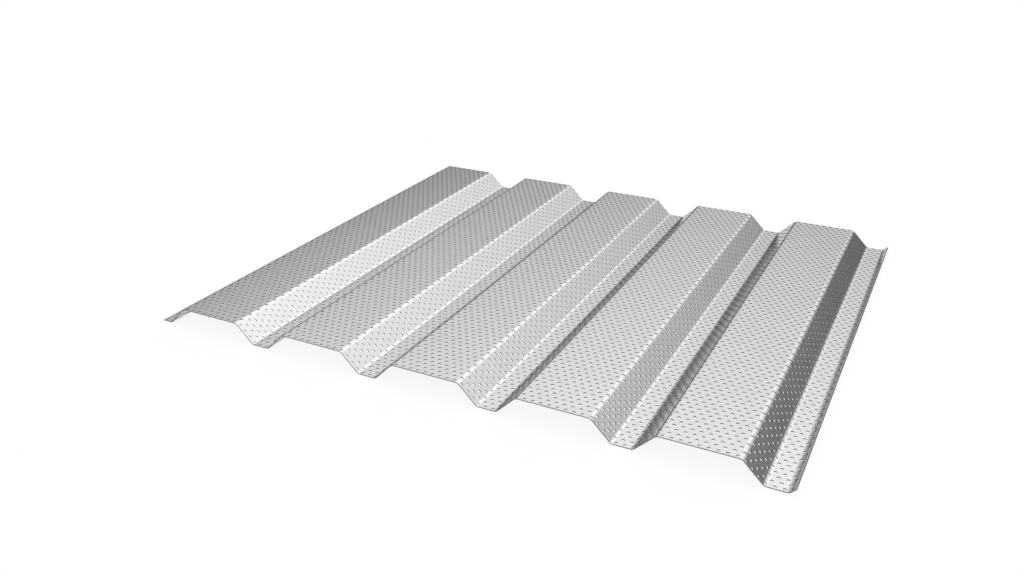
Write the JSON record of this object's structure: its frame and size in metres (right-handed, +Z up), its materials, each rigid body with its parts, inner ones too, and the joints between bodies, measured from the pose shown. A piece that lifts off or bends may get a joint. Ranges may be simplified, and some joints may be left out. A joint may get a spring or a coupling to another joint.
{
  "type": "perforated trapezoidal metal sheet",
  "caption": "Roll-formed sheet metal with broad flat-topped ribs and narrow valleys, perforated all over with small round holes in staggered rows.",
  "frame": {"origin": "centre of the footprint at the underside of the valleys", "axes": "+X across the ribs, from the flat lap to the lip; +Y along the ribs; +Z up"},
  "size_m": [1.0266, 0.848, 0.0315],
  "materials": {
    "galvanised_steel": "satin galvanised"
  },
  "bodies": {
    "root": {"perforated_sheet": "galvanised_steel"}
  },
  "joints": []
}
